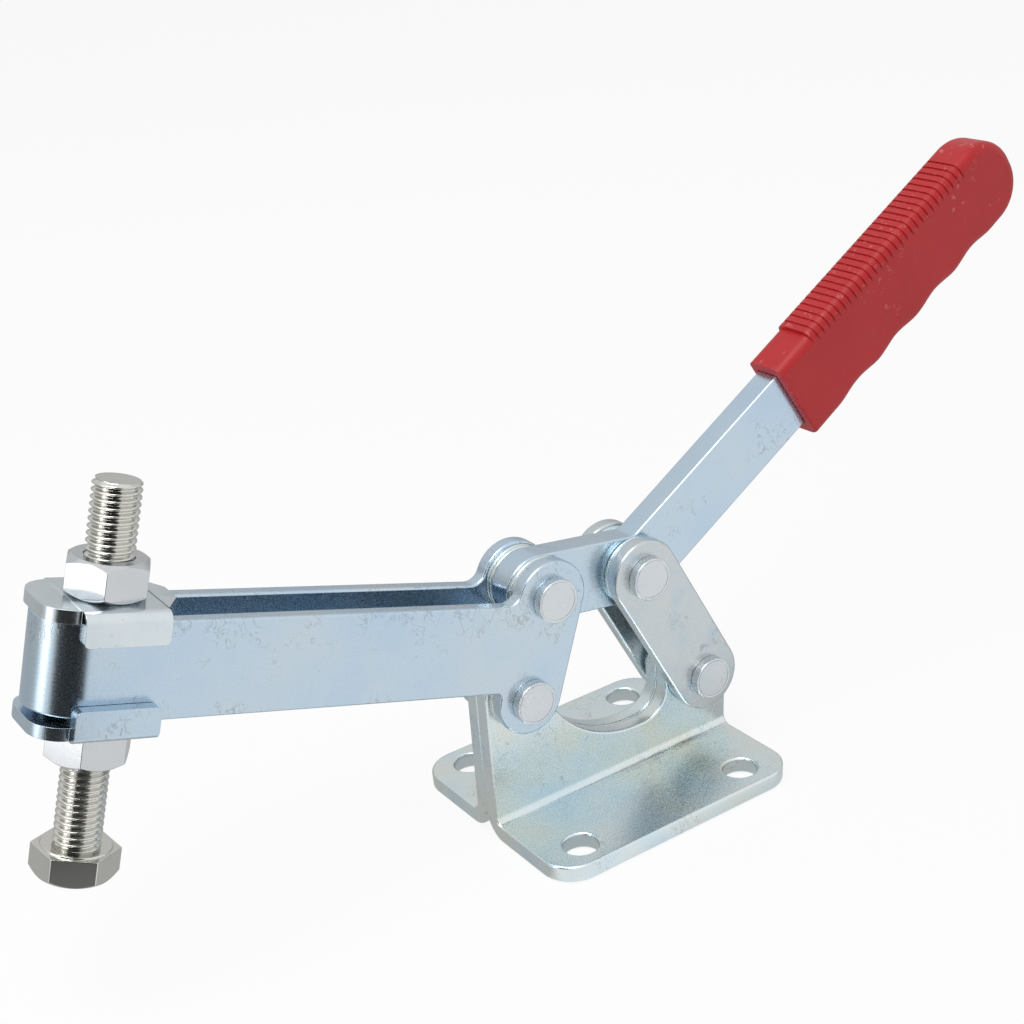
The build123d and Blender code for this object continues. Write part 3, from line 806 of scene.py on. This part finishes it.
# a hexagon, chamfered on its lower face or on both
def makeHex(name, v, low, high, turn, bothFaces):
    corner = v["flats"] / 2 / cos(radians(30))
    drop = (corner - v["faceRadius"]) * tan(radians(v["chamfer"]))
    body = addRound(name, "Z", corner, low, high, sides=6, turn=turn - 30)
    lowFlat = low + drop
    highFlat = high - drop if bothFaces else high
    blank = addRound("blank", "Z", corner + 0.01, lowFlat, highFlat + (0 if bothFaces else 5), sides=120)
    for up, at in ((-1, low), (1, high)):
        if up < 0 or bothFaces:
            pick(blank, "FACE", lambda spot, n: n.z * up > 0.9)
            rise = (0, 0, up * (drop + 0.01) * mm)
            bpy.ops.mesh.extrude_region_move(TRANSFORM_OT_translate={"value": rise})
            shrink = v["faceRadius"] / corner
            bpy.ops.transform.resize(value=(shrink, shrink, 1), center_override=(0, 0, at * mm))
            leave()
    return combine(body, blank, "INTERSECT")


def moveAlongArm(piece, along):
    piece.location = (along * mm, 0, 0)
    return placeOnArm(applyPlace(piece))


def makeNut(name, v, low, turn):
    high = low + v["nutHeight"]
    body = makeHex(name, v, low, high, turn, True)
    combine(body, addRound("bore", "Z", v["radius"] + v["boreGap"], low - 5, high + 5))
    taper = (v["sinkTaper"], v["sinkTaper"], 1)
    wide, deep = v["radius"] + v["sinkWider"], v["sinkDepth"]
    for at, out in ((low, -1), (high, 1)):
        cone = addRound("countersink", "Z", wide, at - deep, at + deep)
        pick(cone, "FACE", lambda spot, n: n.z * out < -0.9)
        bpy.ops.transform.resize(value=taper, center_override=(0, 0, at * mm))
        leave()
        combine(body, cone)
    cleanFlats(body)
    roundEdges(body, v["hexEdge"], sharper=18, material=0, held=True)
    return moveAlongArm(body, v["at"])


def makeThread(v):
    # one pitch of the thread's outline, on an edge beside the axis
    pitch = v["pitch"]
    bpy.ops.mesh.primitive_plane_add(size=pitch * mm, rotation=(pi / 2, 0, 0))
    body = applyPlace(bpy.context.object)
    body.name = "spindle_thread"
    pick(body, "VERT", lambda at, n: at.x < 0)
    bpy.ops.mesh.delete(type="VERT")
    bpy.ops.mesh.select_all(action="SELECT")
    parts = 2 * (len(v["profile"]) - 1)
    bpy.ops.mesh.subdivide(number_cuts=parts - 1)
    leave()
    for i, share in enumerate(v["profile"]):
        away = pitch / parts * i
        pick(body, "VERT", lambda at, n: abs(abs(at.z) - away) < 0.01)
        outward = v["radius"] - v["threadDepth"] * share - pitch / 2
        bpy.ops.transform.translate(value=(outward * mm, 0, 0))
        leave()
    makeActive(body)
    bpy.ops.object.modifier_add(type="SCREW")
    screw = body.modifiers[-1]
    screw.axis = "Z"
    screw.screw_offset = pitch * mm
    screw.iterations = int((v["up"] + v["down"]) / pitch) + 5
    screw.steps = screw.render_steps = v["threadSteps"]
    bpy.ops.object.modifier_apply(modifier=screw.name)
    editAll(body)
    bpy.ops.mesh.remove_doubles(threshold=0.01 * mm)
    bpy.ops.mesh.fill_holes(sides=0)
    bpy.ops.mesh.select_all(action="SELECT")
    bpy.ops.mesh.normals_make_consistent(inside=False)
    bpy.ops.transform.translate(value=(0, 0, (-v["down"] - 2 * pitch) * mm))
    leave()
    blank = addRound("blank", "Z", v["radius"] + 0.02, -v["down"] - 0.3, v["up"])
    bevelPicked(blank, lambda at, d: at.z > v["up"] - 0.01 and abs(d.z) < 0.1, v["tip"], 1)
    return combine(body, blank, "INTERSECT")


def makeBolt(v):
    low = -v["down"] - v["headHeight"]
    head = makeHex("spindle_bolt_steel", v, low, -v["down"], v["headTurn"], False)
    collar = addRound("collar", "Z", v["collarRadius"], -v["down"] - 1, -v["down"] + v["collarHeight"])
    combine(head, collar, "UNION")
    cleanFlats(head)
    roundEdges(head, v["hexEdge"], sharper=18, material=0, held=True)
    body = joinInto(head, makeThread(v))
    # the flats are a second material, darkened as painted reflection
    paintPicked(body, lambda at, n: abs(n.z) < 0.05 and hypot(at.x, at.y) > v["flats"] / 2 - 0.1, 1)
    return moveAlongArm(body, v["at"])


def makeSaddle(name, s, depth, bend, freeCorner):
    inner = halfArm + s["clearance"]
    outer = inner + s["gauge"]
    gauge = s["gauge"]
    body = addBlock(name, (-s["rear"], -20, 0), (s["front"] + 1, 20, gauge))
    flanges = addBlock("flanges", (-s["behind"], -outer, -depth), (s["ahead"], outer, gauge))
    # the sheet turns down round a bend, and its free corners are eased
    bevelPicked(flanges, lambda at, d: abs(d.x) > 0.95 and at.z > 0, bend, 8)
    bevelPicked(flanges, lambda at, d: abs(d.y) > 0.95 and at.z < -1, freeCorner, 5)
    # plan outline: a round-cornered tongue, straight sides and a narrower rear
    plan = addBlock("plan", (-1, -s["tongueHalf"], -30), (s["front"], s["tongueHalf"], 30))
    bevelPicked(plan, lambda at, d: abs(d.z) > 0.9 and at.x > 5, s["frontCorner"], 16)
    rear = addBlock("rear", (-s["behind"], -s["tongueHalf"], -32), (1, s["tongueHalf"], 32))
    pick(rear, "FACE", lambda at, n: n.x < -0.9)
    back = ((s["behind"] - s["rear"]) * mm, 0, 0)
    bpy.ops.mesh.extrude_region_move(TRANSFORM_OT_translate={"value": back})
    narrower = (1, s["rearHalf"] / s["tongueHalf"], 1)
    bpy.ops.transform.resize(value=narrower, center_override=(-s["rear"] * mm, 0, 0))
    leave()
    combine(plan, rear, "UNION")
    combine(body, plan, "INTERSECT")
    combine(body, flanges, "UNION")
    combine(body, addBlock("channel", (-40, -inner, -20), (40, inner, 0)))
    combine(body, addRound("hole", "Z", s["hole"], -20, 20, sides=64))
    cleanFlats(body)
    return roundEdges(body, s["edge"], sharper=30, held=True)


def seatSaddle(side, height, flip):
    depth, bend, corner = (saddle[side + part] for part in ("Depth", "Bend", "Corner"))
    piece = makeSaddle("saddle_washer_" + side, saddle, depth, bend, corner)
    piece.location = (spindle["at"] * mm, 0, height * mm)
    if flip:
        piece.rotation_euler = (pi, 0, 0)
    return placeOnArm(applyPlace(piece))


armLow = armStrip["edgeHeight"]
armTop = armLow + armStrip["depth"]
upperSeat, lowerSeat = armTop + saddle["gap"], armLow - saddle["gap"]
upperSaddle = seatSaddle("upper", upperSeat, False)
lowerSaddle = seatSaddle("lower", lowerSeat, True)
# the upper saddle is tinted brighter than the lower one, partly as a painted highlight
dress(upperSaddle, "clamp_set", "zinc_plate", [zincBrightPaintedHighlight, zincEdge], "upper_saddle")
dress(lowerSaddle, "clamp_set", "zinc_plate", [zincBlue, zincEdge], "lower_saddle")
upperNut = makeNut("hex_nut_upper", spindle, upperSeat + saddle["gauge"], spindle["upperNutTurn"])
lowerNutLow = lowerSeat - saddle["gauge"] - spindle["nutHeight"]
lowerNut = makeNut("hex_nut_lower", spindle, lowerNutLow, spindle["lowerNutTurn"])
dress(upperNut, "clamp_set", "bright_bolt", [brightNut], "upper_nut")
dress(lowerNut, "clamp_set", "bright_bolt", [brightNut], "lower_nut")
dress(makeBolt(spindle), "spindle", "bright_bolt", [brightBolt, headSteelStreakedAndShaded], "spindle_bolt")


# camera, light and floor

studio = {
    "target": (-22.0, 0.0, 94.0), "azimuth": -31.27, "elevation": 23.61, "roll": -6.11, "distance": 469.25,
    "lens": 61.43, "worldFill": 0.5, "floorGlow": 0.88, "floorTone": "#F4F4F4",
    "floorSize": 6, "floorDrop": 0.0003,
}
# soft lamps: place, size and aim in metres, power in watts
lampAim = (-0.03, 0, 0.08)
lamps = {
    "key_softbox": {"place": (-0.5, -0.3, 1.3), "size": (0.9, 0.9), "power": 10.0},
    "left_softbox": {"place": (-0.95, 0.1, 0.3), "size": (0.45, 0.6), "power": 1.55},
}
# reflection screens: middle, radius and heights, then the compass angle they face, half width and fade,
# then their tones and the heights between which these change
screens = {
    "dark_screen": {
        "at": (-165.0, 0.0), "radius": 120.0, "heights": (1.0, 300.0), "towards": -24.75, "half": 43.25,
        "fade": 11.0, "tones": (0.2, 0.03), "toneHeights": (1.0, 45.0)},
    "grey_screen": {
        "at": (-60.0, -30.0), "radius": 800.0, "heights": (0.6, 950.0), "towards": 172.0, "half": 97.0,
        "fade": 20.0, "tones": (0.52, 0.78), "toneHeights": (180.0, 420.0)},
}


def makeCamera(s):
    az, el, roll = radians(s["azimuth"]), radians(s["elevation"]), radians(s["roll"])
    back = Vector((sin(az) * cos(el), -cos(az) * cos(el), sin(el)))
    right = Vector((cos(az), sin(az), 0))
    up = back.cross(right)
    rolledRight = cos(roll) * right + sin(roll) * up
    rolledUp = -sin(roll) * right + cos(roll) * up
    place = (Vector(s["target"]) + back * s["distance"]) * mm
    bpy.ops.object.camera_add()
    camera = bpy.context.object
    camera.data.lens = s["lens"]
    camera.data.sensor_width = 36
    camera.data.clip_start = 0.01
    rows = [(rolledRight[i], rolledUp[i], back[i], place[i]) for i in range(3)]
    camera.matrix_world = Matrix(rows + [(0, 0, 0, 1)])
    bpy.context.scene.camera = camera


def makeSoftbox(name, v):
    bpy.ops.object.light_add(type="AREA", location=v["place"])
    lamp = bpy.context.object
    lamp.name = name
    lamp.data.shape = "RECTANGLE"
    lamp.data.size, lamp.data.size_y = v["size"]
    lamp.data.energy = v["power"]
    lamp.rotation_euler = (Vector(v["place"]) - Vector(lampAim)).to_track_quat("Z", "Y").to_euler()


# 1 for what the camera, a reflection or clear material sees, otherwise 0
def seenDirectly(tree):
    path = tree.nodes.new("ShaderNodeLightPath").outputs
    first = addMath(tree, "MAXIMUM", path["Is Camera Ray"], path["Is Glossy Ray"])
    return addMath(tree, "MAXIMUM", first, path["Is Transmission Ray"])


# a curved screen, seen only in the metal's reflections
def makeScreen(name, c):
    low, high = c["heights"]
    screen = addRound(name, "Z", c["radius"], low, high, c["at"], 96)
    pick(screen, "FACE", lambda at, n: abs(n.z) > 0.5 and at.z > low + 1)
    bpy.ops.mesh.delete(type="FACE")
    leave()
    cloth = bpy.data.materials.new(name + "_cloth")
    tree = clearedTree(cloth)
    place = tree.nodes.new("ShaderNodeTexCoord").outputs["Object"]
    middle = radians(c["towards"])
    x, y = c["at"]
    aim = addVectorMath(tree, "SUBTRACT", place, (x * mm, y * mm, 0))
    aim = addVectorMath(tree, "NORMALIZE", addVectorMath(tree, "MULTIPLY", aim, (1, 1, 0)))
    aim = addVectorMath(tree, "DOT_PRODUCT", aim, (sin(middle), -cos(middle), 0))
    away = addMath(tree, "ARCCOSINE", aim)
    height = addNode(tree, "ShaderNodeSeparateXYZ", {0: place}).outputs["Z"]
    toneLow, toneHigh = c["toneHeights"]
    tone = addRange(tree, height, toneLow * mm, toneHigh * mm, *c["tones"])
    glow = addNode(tree, "ShaderNodeEmission", {"Strength": 1.0, "Color": tone}).outputs[0]
    clear = addNode(tree, "ShaderNodeBsdfTransparent").outputs[0]
    half = radians(c["half"])
    beyond = addRange(tree, away, radians(c["half"] - c["fade"]), half, 0.0, 1.0, "SMOOTHSTEP")
    cut = addNode(tree, "ShaderNodeMixShader", {0: beyond, 1: glow, 2: clear}).outputs[0]
    addNode(tree, "ShaderNodeOutputMaterial", {"Surface": cut})
    screen.data.materials.append(cloth)
    screen.visible_camera = screen.visible_diffuse = False
    screen.visible_shadow = screen.visible_transmission = False


def makeStudio(s):
    world = bpy.data.worlds.new("soft_studio")
    bpy.context.scene.world = world
    tree = clearedTree(world)
    level = addRange(tree, seenDirectly(tree), 0.0, 1.0, s["worldFill"], 1.0)
    light = addNode(tree, "ShaderNodeBackground", {"Color": (1, 1, 1, 1), "Strength": level}).outputs[0]
    addNode(tree, "ShaderNodeOutputWorld", {"Surface": light})
    # floor: pale, keeps a soft shadow
    bpy.ops.mesh.primitive_plane_add(size=s["floorSize"], location=(0, 0, -s["floorDrop"]))
    floor = bpy.context.object
    floor.name = "studio_floor"
    paper = bpy.data.materials.new("white_paper")
    tree = clearedTree(paper)
    matt = addNode(tree, "ShaderNodeBsdfDiffuse", {"Color": colour(s["floorTone"])}).outputs[0]
    glow = addNode(tree, "ShaderNodeEmission", {"Strength": 1.0}).outputs[0]
    share = addMath(tree, "MULTIPLY", seenDirectly(tree), s["floorGlow"])
    mixed = addNode(tree, "ShaderNodeMixShader", {0: share, 1: matt, 2: glow}).outputs[0]
    addNode(tree, "ShaderNodeOutputMaterial", {"Surface": mixed})
    floor.data.materials.append(paper)
    for name, values in screens.items():
        makeScreen(name, values)
    for name, values in lamps.items():
        makeSoftbox(name, values)


makeStudio(studio)
makeCamera(studio)
bpy.context.scene.view_settings.view_transform = "Standard"
print("studio and camera set")
